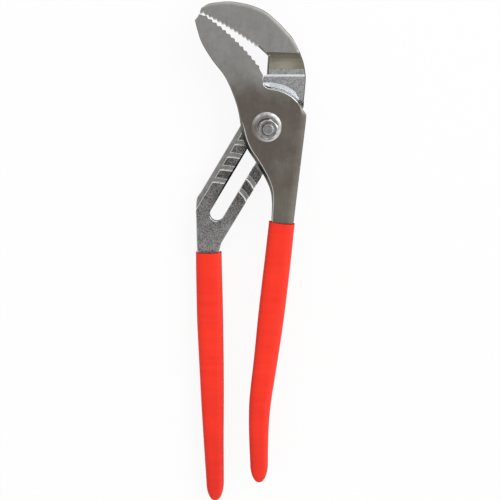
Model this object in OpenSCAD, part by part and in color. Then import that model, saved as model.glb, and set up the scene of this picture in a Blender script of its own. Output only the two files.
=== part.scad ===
// Water pump pliers: two forged arms that cross on a sliding bolt, with dipped grips.
// The pliers lie on their back: X runs across, Y from the handles to the jaws, Z up.
// The origin is where the bolt's axis meets the surface that the bolt head lies on.

/* [Arms] */
// Thickness of each arm where the two cross
arm_t = 11; // [10:0.5:11.5]
// Thickness of both jaws, which end level with the front arm's face
jaw_t = 16; // [13:0.5:17]
// Thickness of the handle bars inside the grips
bar_t = 8.8; // [7:0.1:9]
// Number of teeth on each jaw
tooth_count = 13; // [8:1:18]
// Depth of the teeth
tooth_depth = 1.3; // [0.6:0.1:1.6]

/* [Slot and grooves] */
// Lean of the slot from the handle line, in degrees
slot_lean = 31; // [30:0.5:32]
// Width of the slot
slot_w = 11.4; // [11:0.1:12]
// Length of slot below the bolt at rest, to the centre of its round end
slot_below = 79.4; // [78:0.1:80]
// Length of slot above the bolt at rest, to the centre of its round end
slot_above = 4; // [3.5:0.1:6]
// Distance between one groove and the next
groove_pitch = 11.7; // [11.4:0.1:12]
// Number of grooves
groove_count = 8; // [7:1:8]
// Inner radius of a groove, about the bolt
groove_r = 27.9; // [27.5:0.1:28.2]
// Width of a groove
groove_w = 3.6; // [3.5:0.1:4]
// Depth of a groove
groove_depth = 3; // [2:0.1:3.5]

/* [Pivot] */
// Diameter of the bolt
bolt_d = 9.5; // [8:0.1:10]
// Diameter of the bolt head
head_d = 21; // [18:0.5:24]
// Height of the bolt head
head_h = 3.5; // [2.5:0.1:5]
// Width of the nut across its flats
nut_af = 14.3; // [13:0.1:17]
// Height of the nut
nut_h = 8.3; // [6:0.1:10]
// Length of bolt that stands out of the nut
bolt_end = 1.8; // [1:0.1:4]
// Diameter of the flat washer
washer_d = 24; // [22:0.5:28]
// Diameter of the flat washer's hole
washer_hole_d = 13.6; // [13.4:0.1:14]
// Thickness of the flat washer
washer_t = 2; // [1.5:0.1:3]
// Thickness of the split lock washer
lock_t = 2.3; // [1.5:0.1:3]

/* [Grips] */
// Thickness of the grips
grip_t = 12.8; // [12.4:0.1:13]
// Wall of the grips at the sides
grip_wall = 1.6; // [1.2:0.1:2]

/* [Hidden] */

$fn = 64;
over = 1;
play = 0.05;

// Room that holds the whole tool, for cuts that go right through
room_h = 60;
room_w = 200;
room_y0 = -320;
room_y1 = 120;

// Levels of the stack, from the surface up
rear_z0 = head_h;
rear_z1 = rear_z0 + arm_t;
front_z0 = rear_z1 + play;
front_z1 = front_z0 + arm_t;
jaw_z0 = front_z1 - jaw_t;
lock_z = front_z1 + washer_t;
nut_z = lock_z + lock_t;
nut_top = nut_z + nut_h;
bolt_top = nut_top + bolt_end;
floor_z = rear_z1 - groove_depth;
rear_bar_z1 = rear_z0 + bar_t;
front_bar_z0 = front_z1 - bar_t;

// Edges of the slotted bar, counted to the left of the slot's axis
left_edge = 20.2;
land_edge = 16;
right_edge = -15.4;
right_edge_low = -15.2;
bend_down = 77.5;
right_edge_end = 97;

// The neck between the slotted bar and the upper jaw
neck_left = -3.6;
neck_right = 28.2;
land_end_y = 42.3;
land_step = 0.6;
slope_y0 = 47.2;
slope_y1 = 59.1;
back_slope_y0 = 36;
back_slope_y1 = 54;
neck_bevel_run = 3.9;
neck_bevel_drop = 1.3;

// The front arm's shoulder, tongue and thick jaw
shoulder_r = groove_r + groove_w + 0.2;
shoulder_a0 = 28;
shoulder_a1 = 84;
tongue_gap = 0.2;
tongue_a0 = 42;
tongue_a1 = 86;
thick_r = 38;
thick_a0 = 96;
thick_a1 = 175;

// Fits of the bolt
neck_play = 0.1;
bore_play = 0.1;
thread_play = 0.05;
neck_r = 6.6;
nut_turn = 17;
washer_shift = [-1.1, 1.6];
lock_gap_a = 12;
lock_turn = 230;
lock_play = 0.8;
lock_shift = [-0.45, -0.6];
washer_fall = 0.9;

// Places where the handles leave the grips
rear_rim_y = -99;
front_rim_y = -73.7;
bar_slope_run = 10;
grip_end = 16;
bar_end_gap = 6;
ring_sides = 24;
box_power = 4;

// Curves that the outlines pass through, in millimetres from the bolt's axis
upper_jaw_back = [[-53.2, 90.2], [-51.2, 94.9], [-46, 97.8], [-38.6, 98.9], [-31, 99.4], [-22, 98.4],
                  [-12, 96], [-2, 91.6], [7, 84.2], [14, 77.2], [19.4, 71], [23.2, 64.8], [26, 59],
                  [28.2, 53], [29.6, 47], [30.4, 40.6], [30.1, 34], [29.4, 26]];
upper_teeth = [[-50.6, 91.1], [-28.5, 80.2], [-8, 65]];
throat = [[0.1, 57.6], [-0.8, 43], [-3.2, 42], [-3.9, 39.6], [-3.9, 36.8]];
lower_jaw_back = [[-57.5, 85], [-55.5, 77], [-52, 67], [-44, 54], [-35, 42.5], [-29, 30.5], [-24, 16],
                  [-21.5, 2]];
lower_teeth = [[-6.6, 46.8], [-25.6, 71.8], [-50.3, 87.8]];
lower_nose = [-53.6, 89.1];
notch = [[1, 32], [-1.4, 33], [-3.2, 34.7], [-4.1, 37], [-4.4, 39.4], [-3.9, 42]];
waist = [[-21.1, -1], [-19.4, -8], [-15.6, -17], [-9.2, -26.6], [-1.2, -40.8], [2.4, -50.3], [3.4, -60]];
front_side = [[21.6, -67], [24.1, -45.2], [27.5, -16.8], [29.9, 3.7], [30.5, 11.3]];

// Handles: place along Y, centre across X and width of the grip
rear_handle = [[rear_rim_y, -47.6, 20.9], [-110, -47.6, 21.1], [-139, -47.1, 21.4], [-156, -46.8, 21.4],
               [-189, -45.9, 20.3], [-223, -45.1, 18.8], [-257, -44.3, 16.6], [-292, -43.2, 14.6]];
front_handle = [[front_rim_y, 11.2, 20.5], [-96, 8.9, 20.8], [-121, 6.1, 21], [-153, 2.4, 20.8],
                [-187, -1.7, 19.1], [-220, -6, 17.7], [-245, -7.1, 16.1], [-272, -6.8, 14.6]];

// Room between bar and grip at the rim, on the left and on the right
rear_rim_gaps = [1, 1.8];
front_rim_gaps = [1.9, 0.6];

// A smooth curve through every point of a list
function spline_at(a, b, c, d, t) =
    0.5 * (2 * b + (c - a) * t + (2 * a - 5 * b + 4 * c - d) * t * t + (3 * b - a - 3 * c + d) * t * t * t);
function spline(points, steps) = [
    for (i = [0 : len(points) - 2], s = [0 : steps - 1])
        spline_at(points[max(i - 1, 0)], points[i], points[i + 1],
                  points[min(i + 2, len(points) - 1)], s / steps),
    points[len(points) - 1]
];

// A row of teeth along a curve with one bend, standing out on its left
function bend_at(c, t) = (1 - t) * (1 - t) * c[0] + 2 * t * (1 - t) * c[1] + t * t * c[2];
function bend_dir(c, t) = (1 - t) * (c[1] - c[0]) + t * (c[2] - c[1]);
function left_of(v) = [-v[1], v[0]] / norm(v);
function teeth(c, height) = [
    for (i = [0 : 2 * tooth_count])
        let (t = i / (2 * tooth_count))
        bend_at(c, t) + (i % 2) * height * left_of(bend_dir(c, t))
];

// A point of the slotted bar, from its place to the left of the slot's axis and down the slot
function on_slot(left, down) = [
    -left * cos(slot_lean) - down * sin(slot_lean),
    left * sin(slot_lean) - down * cos(slot_lean)
];
function down_at_x(left, x) = (-left * cos(slot_lean) - x) / sin(slot_lean);

// One side of a handle bar, from the rim to its end
function bar_side(path, side, rim_gap) = spline([
    for (i = [0 : len(path) - 1])
        let (wall = i == 0 ? rim_gap : grip_wall)
        [path[i][1] + side * (path[i][2] / 2 - wall), path[i][0]]
], 4);
function bar_tip(path) = [path[len(path) - 1][1], path[len(path) - 1][0] - grip_end + bar_end_gap];
function reversed(list) = [for (i = [len(list) - 1 : -1 : 0]) list[i]];

rear_outline = concat(
    spline(upper_jaw_back, 4),
    [on_slot(right_edge, down_at_x(right_edge, neck_right)), on_slot(right_edge_low, right_edge_end)],
    bar_side(rear_handle, 1, rear_rim_gaps[1]),
    [bar_tip(rear_handle)],
    reversed(bar_side(rear_handle, -1, rear_rim_gaps[0])),
    spline([[-57.7, -67], on_slot(left_edge, bend_down), on_slot(left_edge, bend_down - 6)], 4),
    [on_slot(left_edge, down_at_x(left_edge, neck_left))],
    reversed(throat),
    reversed(teeth(upper_teeth, -tooth_depth))
);

front_outline = concat(
    spline(lower_jaw_back, 4),
    spline(waist, 4),
    bar_side(front_handle, -1, front_rim_gaps[0]),
    [bar_tip(front_handle)],
    reversed(bar_side(front_handle, 1, front_rim_gaps[1])),
    spline(front_side, 4),
    [for (a = [shoulder_a0 : 2 : shoulder_a1]) shoulder_r * [cos(a), sin(a)]],
    spline(notch, 4),
    teeth(lower_teeth, -tooth_depth),
    [lower_nose]
);

// Side view of the rear arm, as Y and Z
rear_profile = [
    [room_y0, rear_z0], [back_slope_y0, rear_z0], [back_slope_y1, jaw_z0], [room_y1, jaw_z0],
    [room_y1, front_z1], [slope_y1, front_z1], [slope_y0, rear_z1 + land_step],
    [land_end_y + land_step, rear_z1 + land_step], [land_end_y - land_step, rear_z1],
    [rear_rim_y + bar_slope_run, rear_z1], [rear_rim_y, rear_bar_z1], [room_y0, rear_bar_z1]
];

// Side view of the front arm, as Y and Z
front_profile = [
    [room_y0, front_bar_z0], [front_rim_y, front_bar_z0], [front_rim_y + bar_slope_run, front_z0],
    [room_y1, front_z0], [room_y1, front_z1], [room_y0, front_z1]
];

// A flat outline given the thickness that a side view has along it
module forged(outline, profile) {
    intersection() {
        linear_extrude(room_h) polygon(outline);
        translate([-room_w / 2, 0, 0])
            rotate([90, 0, 90]) linear_extrude(room_w) polygon(profile);
    }
}

module in_slot_frame() {
    rotate([0, 0, -slot_lean]) children();
}

module slot_cut() {
    length = slot_below + slot_above;
    in_slot_frame() translate([0, 0, -over]) {
        translate([-slot_w / 2, -slot_below, 0]) cube([slot_w, length, room_h]);
        translate([0, slot_above, 0]) cylinder(d = slot_w, h = room_h);
        translate([0, -slot_below, 0]) cylinder(d = slot_w, h = room_h);
    }
}

// A half ring about one place of the bolt; the topmost has a wide bevel on its outer wall
module groove_cut(number) {
    slope = number == 0 ? neck_bevel_run / neck_bevel_drop : 0;
    top = groove_depth + over;
    bevel_z = groove_depth - neck_bevel_drop;
    outer = groove_r + groove_w;
    in_slot_frame()
        translate([0, -number * groove_pitch, floor_z])
            rotate_extrude(angle = 180)
                polygon([[groove_r, 0], [outer, 0], [outer, bevel_z],
                         [outer + slope * (top - bevel_z), top], [groove_r, top]]);
}

// The ledge along the slotted bar's outer edge, level with the grooves
module ledge_cut() {
    ledge_top = 10;
    ledge_length = 130;
    cut_w = 20;
    in_slot_frame()
        translate([-land_edge - cut_w, ledge_top - ledge_length, floor_z])
            cube([cut_w, ledge_length, groove_depth + over]);
}

module rear_arm() {
    color("#5c5a57")
        difference() {
            forged(rear_outline, rear_profile);
            slot_cut();
            ledge_cut();
            for (number = [0 : groove_count - 1]) groove_cut(number);
        }
}

// The back of the lower jaw, behind the plane where the arms cross
module thick_jaw() {
    depth = front_z0 - jaw_z0 + over;
    translate([0, 0, jaw_z0])
        intersection() {
            linear_extrude(depth) polygon(front_outline);
            rotate([0, 0, thick_a0])
                rotate_extrude(angle = thick_a1 - thick_a0)
                    translate([thick_r, 0]) square([room_w, depth]);
        }
}

// The arc that drops into one of the grooves
module tongue() {
    depth = groove_depth - tongue_gap;
    translate([0, 0, front_z0 - depth])
        rotate([0, 0, tongue_a0])
            rotate_extrude(angle = tongue_a1 - tongue_a0)
                translate([groove_r + tongue_gap, 0])
                    square([groove_w - 2 * tongue_gap, depth + over]);
}

module front_arm() {
    color("#8a837d")
        difference() {
            union() {
                forged(front_outline, front_profile);
                thick_jaw();
                tongue();
            }
            cylinder(d = bolt_d + 2 * bore_play, h = room_h);
        }
}

// Round head, flat-sided neck that can't turn in the slot, and shank
module pivot_bolt() {
    bevel = 0.8;
    head_r = head_d / 2;
    shank_r = bolt_d / 2;
    neck_w = slot_w - 2 * neck_play;
    neck_top = rear_z1 - play;
    color("#c9cbcd") {
        rotate_extrude()
            polygon([[0, 0], [head_r - bevel, 0], [head_r, bevel], [head_r, head_h - play],
                     [shank_r, head_h - play], [shank_r, bolt_top - bevel],
                     [shank_r - bevel, bolt_top], [0, bolt_top]]);
        in_slot_frame()
            intersection() {
                cylinder(r = neck_r, h = neck_top);
                translate([-neck_w / 2, -neck_r, head_h - play - over])
                    cube([neck_w, 2 * neck_r, neck_top - head_h + play + over]);
            }
    }
}

// The hole is wide for the bolt, and the washer lies off centre; its face falls towards the rim
module flat_washer() {
    land = 1.4;
    outer = washer_d / 2;
    inner = washer_hole_d / 2;
    color("#d8dadc")
        translate([washer_shift[0], washer_shift[1], front_z1])
            rotate_extrude()
                polygon([[inner, 0], [outer, 0], [outer, washer_t - washer_fall],
                         [inner + land, washer_t], [inner, washer_t]]);
}

// A flat ring with one split, pushed to one side of the bolt
module lock_washer() {
    inner = bolt_d / 2 + lock_play;
    width = 2.4;
    color("#b9bcbe")
        translate([lock_shift[0], lock_shift[1], lock_z])
            rotate([0, 0, lock_turn])
                rotate_extrude(angle = 360 - lock_gap_a)
                    translate([inner, 0]) square([width, lock_t]);
}

// A hexagon with its corners turned down at both ends
module hex_nut() {
    corner_r = nut_af / sqrt(3);
    face_r = nut_af / 2 + 0.2;
    bevel_r = corner_r - face_r;
    bevel_z = bevel_r * tan(30);
    color("#d0d2d4")
        translate([0, 0, nut_z])
            difference() {
                intersection() {
                    rotate([0, 0, nut_turn]) cylinder(r = corner_r, h = nut_h, $fn = 6);
                    rotate_extrude()
                        polygon([[0, 0], [face_r, 0], [corner_r, bevel_z],
                                 [corner_r, nut_h - bevel_z], [face_r, nut_h], [0, nut_h]]);
                }
                translate([0, 0, -over])
                    cylinder(d = bolt_d + 2 * thread_play, h = nut_h + 2 * over);
            }
}

// Sections of a grip: place along Y, centre across X, width and thickness
function grip_sections(path) = concat(
    [for (s = spline(path, 3)) [s[0], s[1], s[2], grip_t]],
    [for (a = [18 : 18 : 72])
        let (last = path[len(path) - 1])
        [last[0] - grip_end * sin(a), last[1], last[2] * cos(a), grip_t * pow(cos(a), 0.7)]]
);
function rounded(v) = sign(v) * pow(abs(v), 2 / box_power);
function section_lean(sections, i) =
    let (last = len(sections) - 1, a = sections[max(i - 1, 0)], b = sections[min(i + 1, last)])
    (b[1] - a[1]) / (b[0] - a[0]);
function grip_ring(sections, i, z) =
    let (s = sections[i], lean = section_lean(sections, i))
    [for (k = [0 : ring_sides - 1])
        let (a = 360 * k / ring_sides, x = rounded(cos(a)) * s[2] / 2)
        [s[1] + x, s[0] - x * lean, z + rounded(sin(a)) * s[3] / 2]];

// A closed sleeve: rings along the handle, a flat rim and a round tip
module grip_body(path, z) {
    sections = grip_sections(path);
    count = len(sections);
    last = path[len(path) - 1];
    points = concat(
        [for (i = [0 : count - 1]) each grip_ring(sections, i, z)],
        [[path[0][1], path[0][0], z], [last[1], last[0] - grip_end, z]]
    );
    rim_centre = count * ring_sides;
    tip = rim_centre + 1;
    walls = [
        for (i = [0 : count - 2], k = [0 : ring_sides - 1])
            let (a = i * ring_sides + k, b = i * ring_sides + (k + 1) % ring_sides)
            each [[a, b, b + ring_sides], [a, b + ring_sides, a + ring_sides]]
    ];
    first_ring = [for (k = [0 : ring_sides - 1]) [rim_centre, (k + 1) % ring_sides, k]];
    base = (count - 1) * ring_sides;
    last_ring = [for (k = [0 : ring_sides - 1]) [base + k, base + (k + 1) % ring_sides, tip]];
    polyhedron(points, concat(walls, first_ring, last_ring));
}

module rear_grip() {
    color("#f0402f")
        difference() {
            grip_body(rear_handle, rear_z0 + bar_t / 2);
            forged(rear_outline, rear_profile);
        }
}

module front_grip() {
    color("#f0402f")
        difference() {
            grip_body(front_handle, front_z1 - bar_t / 2);
            forged(front_outline, front_profile);
        }
}

rear_arm();
front_arm();
pivot_bolt();
flat_washer();
lock_washer();
hex_nut();
rear_grip();
front_grip();
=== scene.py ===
"""Finished pieces of a pair of water pump pliers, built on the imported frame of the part."""

import math

import bmesh
import bpy
from mathutils import Color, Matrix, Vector


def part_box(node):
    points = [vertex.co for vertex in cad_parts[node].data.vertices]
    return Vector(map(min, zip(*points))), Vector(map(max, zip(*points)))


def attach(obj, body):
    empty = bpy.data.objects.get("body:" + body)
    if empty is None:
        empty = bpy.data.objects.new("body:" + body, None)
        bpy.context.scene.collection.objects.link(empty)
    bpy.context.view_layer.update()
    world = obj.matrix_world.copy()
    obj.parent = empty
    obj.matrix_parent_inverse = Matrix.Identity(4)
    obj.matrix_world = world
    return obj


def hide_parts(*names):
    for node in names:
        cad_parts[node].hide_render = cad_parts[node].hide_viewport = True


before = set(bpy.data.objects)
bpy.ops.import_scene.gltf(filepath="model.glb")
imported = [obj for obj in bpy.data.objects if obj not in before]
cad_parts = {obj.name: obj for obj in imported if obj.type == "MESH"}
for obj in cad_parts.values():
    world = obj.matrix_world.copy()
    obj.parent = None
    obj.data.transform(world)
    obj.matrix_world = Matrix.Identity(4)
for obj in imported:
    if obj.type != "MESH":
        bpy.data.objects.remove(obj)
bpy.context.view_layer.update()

bl_info = {
    "name": "Water Pump Pliers",
    "version": (1, 0, 0),
    "blender": (4, 5, 0),
    "location": "View3D > Sidebar > Pliers",
    "description": "Builds the arms, pivot and grips of water pump pliers, and a studio to show them in",
    "category": "Object",
}

MM = 0.001
MERGE_GAP = 0.001 * MM
TOUCH = 0.02 * MM
FLAT_ANGLE = math.radians(0.5)
HARD_ANGLE = math.radians(24)
SMOOTH_ANGLE = math.radians(17)
LEVEL = math.cos(math.radians(1))
UPRIGHT = 0.1
STEEP = 0.5
ASIDE = 0.9
ROOM_SHARE = 0.45
WIDEST_ROUND = 1.6 * MM
OWN_FINISH = -1
UP = Vector((0, 0, 1))


def linear(code):
    """Linear colour of an sRGB hex code."""
    shares = [int(code[start:start + 2], 16) / 255 for start in (0, 2, 4)]
    return tuple(s / 12.92 if s <= 0.04045 else ((s + 0.055) / 1.055) ** 2.4 for s in shares)


def length(name, description, default):
    """Length property with its default in millimetres."""
    return bpy.props.FloatProperty(
        name=name, description=description, default=default * MM, min=0, unit="LENGTH", precision=5)


def colour(name, description, code):
    """Colour property with its default as an sRGB hex code."""
    return bpy.props.FloatVectorProperty(
        name=name, description=description, default=linear(code), size=3, min=0, max=1, subtype="COLOR")


class PliersSizes(bpy.types.PropertyGroup):
    """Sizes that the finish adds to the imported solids."""

    jaw_roll: length("Jaw roll", "Width of the rolled edge on the backs of the jaws", 2.2)
    jaw_roll_depth: length("Jaw roll depth", "Depth of the rolled edge on the backs of the jaws", 0.36)
    side_roll: length("Side roll", "Width of the rolled edge on the front arm's outer side", 4.6)
    side_roll_depth: length("Side roll depth", "Depth of the rolled edge on the front arm's outer side", 0.5)
    shoulder_roll: length("Shoulder roll", "Width of the rolled edge on the front arm's shoulder", 0.7)
    draft_depth: length("Draft depth", "How far down the forged walls slope", 9.0)
    shoulder_draft: length("Shoulder draft", "Slope of the wall round the front arm's shoulder", 0.3)
    jaw_draft: length("Jaw draft", "Slope of the wall behind the lower jaw", 0.9)
    bar_draft: length("Bar draft", "Least slope of the handle bar's inner wall", 0.5)
    waist_draft: length("Waist draft", "Slope of the front arm's wall where it crosses the slot", 2.6)
    edge_round: length("Edge rounding", "Rounding of the forged edges", 0.5)
    cut_round: length("Cut rounding", "Rounding of the machined edges", 0.4)
    groove_lip: length("Groove lip", "Wear on the groove edges that take the tongue's load", 0.55)
    wall_draft: length("Wall draft", "Slope of the neck's and the slot's left walls", 1.5)
    bevel_wear: length("Bevel wear", "How far wear pushes back the bevel of the topmost groove", 1.3)
    throat_draft: length("Throat draft", "Slope of the upper jaw's wall at the throat", 0.8)
    neck_draft: length("Neck draft", "Slope of the neck's right wall and of the arms' outer sides", 1.3)
    slope_draft: length("Slope draft", "Further slope of the neck's right wall beside the jaw", 0.9)
    step_wear: length("Step wear", "How far wear widens the step of the neck", 0.4)
    groove_round: length("Groove rounding", "Rounding of the groove edges that take no load", 0.15)
    tooth_round: length("Tooth rounding", "Wear on the crests of the teeth", 0.16)
    bolt_round: length("Bolt rounding", "Rounding of the bolt's edges", 0.25)
    lock_round: length("Lock washer rounding", "Rounding of the lock washer's edges", 0.3)
    nut_round: length("Nut rounding", "Rounding of the nut's edges", 0.14)
    thread_pitch: length("Thread pitch", "Rise of the bolt's thread in one turn", 1.59)
    thread_depth: length("Thread depth", "Depth of the bolt's thread", 0.55)
    rim_dip: length("Rim dip", "How far a grip's rim dips on its broad faces", 0.8)
    rim_wall: length("Rim wall", "Thickness of a grip's wall at its rim", 0.8)
    ripple: length("Ripple", "Height of the dip lines below a grip's rim", 0.16)
    ripple_pitch: length("Ripple pitch", "Distance between the dip lines", 2.6)


class PliersColours(bpy.types.PropertyGroup):
    """Colours of the finishes."""

    # The light, brown and olive tones of the ground steel are partly clean, oiled and handled steel, and
    # partly a painted reflection.
    ground_light: colour("Ground steel", "Ground steel on the jaws, where it is cleanest", "B6B4B1")
    ground_oil_and_reflection: colour("Ground steel, oiled", "Ground steel round the pivot, browned by oil", "857C74")
    ground_rubbed: colour("Ground steel, rubbed", "Patches where the oil film is rubbed thin", "928F84")
    ground_scale: colour("Ground steel, scale", "Slope behind the jaw, under a thin scale", "96917F")
    ground_olive_and_reflection: colour("Ground steel, handled", "Ground steel near the grip", "8D8479")
    forged_light: colour("Forged steel", "High grains of the blasted forging", "C9C9CB")
    forged_dark: colour("Forged steel, pits", "Pits of the blasted forging", "4A443E")
    machined: colour("Machined steel", "Cut grooves and ledge", "B8B7B3")
    worn: colour("Worn steel", "Edges and bevels rubbed bright", "E8EAEC")
    # The forge skin's dark tones are partly oxide and partly painted shade on walls that face away from the
    # light.
    skin_light: colour("Forge skin", "Lighter oxide on the flanks", "575143")
    skin_dark: colour("Forge skin, dark", "Darker oxide on the flanks", "312E26")
    zinc: colour("Zinc plate", "Bright plate on the bolt, nut and washers", "C6C8CA")
    grip: colour("Grip", "Dipped PVC", "FF3218")
    grip_deep: colour("Grip, thick", "Dipped PVC where it runs thick", "E6240F")
    # Painted shade for the sides of a handle.
    grip_side_shade: colour("Grip, side", "Dipped PVC on the sides of a handle", "8E1408")
    floor: colour("Floor", "Studio paper", "F6F6F5")


def add(tree, kind, inputs=None, **settings):
    """Adds a node with its settings, and sets its inputs or links them to a socket or a node's output."""
    node = tree.nodes.new(kind)
    for name, value in settings.items():
        setattr(node, name, value)
    for key, value in (inputs or {}).items():
        if isinstance(value, bpy.types.Node):
            value = next(socket for socket in value.outputs if socket.enabled)
        if isinstance(value, bpy.types.NodeSocket):
            tree.links.new(value, node.inputs[key])
        else:
            node.inputs[key].default_value = (*value, 1) if isinstance(value, Color) else value
    return node


def per_mm(size):
    """Scale of a pattern whose features are this many millimetres across."""
    return 1 / (size * MM)


def ground_steel(tree, place, colours):
    """Drop-forged steel ground on a belt: a soft mirror with fine lines along it, and a brown tone that is
    partly an oil film and partly a painted reflection, lighter on the jaws and olive near the grip.
    """
    height = add(tree, "ShaderNodeSeparateXYZ", {0: place}).outputs["Y"]
    film_and_painted_light = add(tree, "ShaderNodeTexNoise", {
        "Vector": place, "Scale": per_mm(30), "Detail": 4, "Roughness": 0.6})
    uneven = add(tree, "ShaderNodeMath", {0: film_and_painted_light, 1: 60 * MM, 2: -30 * MM}, operation="MULTIPLY_ADD")
    level = add(tree, "ShaderNodeMath", {0: height, 1: uneven}, operation="ADD")
    # Lighter towards the jaws, brown round the pivot and olive towards the grip: partly clean, oiled and
    # handled steel, partly a painted reflection of the room.
    lighter_share = add(tree, "ShaderNodeMapRange", {0: level, 1: 20 * MM, 2: 54 * MM},
                interpolation_type="SMOOTHSTEP")
    handled_and_reflection = add(tree, "ShaderNodeMapRange", {0: level, 1: -20 * MM, 2: -60 * MM},
                  interpolation_type="SMOOTHSTEP")
    low = add(tree, "ShaderNodeMix", {0: handled_and_reflection, 6: colours.ground_oil_and_reflection,
                                      7: colours.ground_olive_and_reflection}, data_type="RGBA")
    patches = add(tree, "ShaderNodeTexNoise", {"Vector": place, "Scale": per_mm(24), "Detail": 2})
    rubbed = add(tree, "ShaderNodeMapRange", {0: patches, 1: 0.48, 2: 0.68, 3: 0, 4: 0.9})
    low = add(tree, "ShaderNodeMix", {0: rubbed, 6: low, 7: colours.ground_rubbed}, data_type="RGBA")
    tone = add(tree, "ShaderNodeMix", {0: lighter_share, 6: low, 7: colours.ground_light}, data_type="RGBA")
    mottle = add(tree, "ShaderNodeTexNoise", {"Vector": place, "Scale": per_mm(3.4), "Detail": 4})
    shade = add(tree, "ShaderNodeMapRange", {0: mottle, 1: 0.3, 2: 0.7, 3: 0.93, 4: 1.06})
    tone = add(tree, "ShaderNodeVectorMath", {0: tone, 3: shade}, operation="SCALE")
    # Belt lines are near 0.1 mm apart, drawn at 0.6 mm so that they show.
    stretch = add(tree, "ShaderNodeMapping", {
        "Vector": place, "Scale": (per_mm(0.6), per_mm(22), per_mm(0.6))})
    lines = add(tree, "ShaderNodeTexNoise", {"Vector": stretch, "Scale": 1, "Detail": 3})
    rough = add(tree, "ShaderNodeMapRange", {0: lines, 1: 0.3, 2: 0.7, 3: 0.27, 4: 0.33})
    waves = add(tree, "ShaderNodeTexNoise", {"Vector": place, "Scale": per_mm(24), "Detail": 1})
    wavy = add(tree, "ShaderNodeBump", {"Height": waves, "Strength": 1.0, "Distance": 1.2 * MM})
    lined = add(tree, "ShaderNodeBump", {"Height": lines, "Strength": 0.15, "Distance": 0.02 * MM,
                                         "Normal": wavy})
    return add(tree, "ShaderNodeBsdfPrincipled", {
        "Base Color": tone, "Metallic": 1, "Roughness": rough, "Normal": lined})


def heat_scaled_steel(tree, place, colours):
    """Steel under a thin heat scale: dull olive, darker towards the jaw, with faint bands along it."""
    depth = add(tree, "ShaderNodeSeparateXYZ", {0: place}).outputs["Z"]
    stretch = add(tree, "ShaderNodeMapping", {
        "Vector": place, "Scale": (per_mm(30), per_mm(2.4), per_mm(2.4))})
    bands = add(tree, "ShaderNodeTexNoise", {"Vector": stretch, "Scale": 1, "Detail": 3})
    # Darker towards the jaw face, in faint bands.
    uneven = add(tree, "ShaderNodeMath", {0: bands, 1: 14 * MM, 2: depth}, operation="MULTIPLY_ADD")
    away_from_jaw = add(tree, "ShaderNodeMapRange", {0: uneven, 1: 38.5 * MM, 2: 24.5 * MM})
    tone = add(tree, "ShaderNodeMix", {0: away_from_jaw, 6: colours.skin_dark,
                                       7: colours.ground_scale}, data_type="RGBA")
    rough = add(tree, "ShaderNodeMapRange", {0: bands, 1: 0.3, 2: 0.7, 3: 0.34, 4: 0.44})
    bumps = add(tree, "ShaderNodeBump", {"Height": bands, "Strength": 0.3, "Distance": 0.1 * MM})
    return add(tree, "ShaderNodeBsdfPrincipled", {
        "Base Color": tone, "Metallic": 1, "Roughness": rough, "Normal": bumps})


def blasted_forged_steel(tree, place, colours):
    """Hot-forged steel, shot-blasted: dull and finely pitted, dark with oil round the slot."""
    height = add(tree, "ShaderNodeSeparateXYZ", {0: place}).outputs["Y"]
    # Shot pits are near 0.5 mm across, drawn at 1.1 mm so that they show.
    pits = add(tree, "ShaderNodeTexNoise", {
        "Vector": place, "Scale": per_mm(1.1), "Detail": 3, "Roughness": 0.6})
    scale = add(tree, "ShaderNodeTexNoise", {"Vector": place, "Scale": per_mm(14), "Detail": 3})
    neck = add(tree, "ShaderNodeMapRange", {0: height, 1: 4 * MM, 2: 26 * MM, 3: 0, 4: 0.19})
    foot = add(tree, "ShaderNodeMapRange", {0: height, 1: -52 * MM, 2: -80 * MM, 3: 0, 4: 0.1})
    lighter_share = add(tree, "ShaderNodeMath", {0: neck, 1: foot}, operation="ADD")
    blend = add(tree, "ShaderNodeMath", {0: scale, 1: 0.3, 2: lighter_share}, operation="MULTIPLY_ADD")
    blend = add(tree, "ShaderNodeMath", {0: pits, 1: 0.7, 2: blend}, operation="MULTIPLY_ADD")
    ramp = add(tree, "ShaderNodeMapRange", {0: blend, 1: 0.43, 2: 0.83})
    tone = add(tree, "ShaderNodeMix", {0: ramp, 6: colours.forged_dark,
                                       7: colours.forged_light}, data_type="RGBA")
    rough = add(tree, "ShaderNodeMapRange", {0: pits, 1: 0.3, 2: 0.7, 3: 0.56, 4: 0.42})
    bumps = add(tree, "ShaderNodeBump", {"Height": pits, "Strength": 0.6, "Distance": 0.1 * MM})
    return add(tree, "ShaderNodeBsdfPrincipled", {
        "Base Color": tone, "Metallic": 1, "Roughness": rough, "Normal": bumps})


def machined_steel(tree, place, colours):
    """Steel left by the cutter: light grey and satin, with fine tool marks and traces of oil."""
    # Tool marks are near 0.15 mm apart, drawn at 0.5 mm so that they show.
    marks = add(tree, "ShaderNodeTexNoise", {"Vector": place, "Scale": per_mm(0.5), "Detail": 2})
    stain = add(tree, "ShaderNodeTexNoise", {"Vector": place, "Scale": per_mm(4), "Detail": 4})
    ramp = add(tree, "ShaderNodeMapRange", {0: stain, 1: 0.36, 2: 0.64, 3: 0, 4: 0.3})
    tone = add(tree, "ShaderNodeMix", {0: ramp, 6: colours.machined,
                                       7: colours.forged_dark}, data_type="RGBA")
    rough = add(tree, "ShaderNodeMapRange", {0: marks, 1: 0.3, 2: 0.7, 3: 0.28, 4: 0.4})
    bumps = add(tree, "ShaderNodeBump", {"Height": marks, "Strength": 0.35, "Distance": 0.03 * MM})
    return add(tree, "ShaderNodeBsdfPrincipled", {
        "Base Color": tone, "Metallic": 1, "Roughness": rough, "Normal": bumps})


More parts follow.
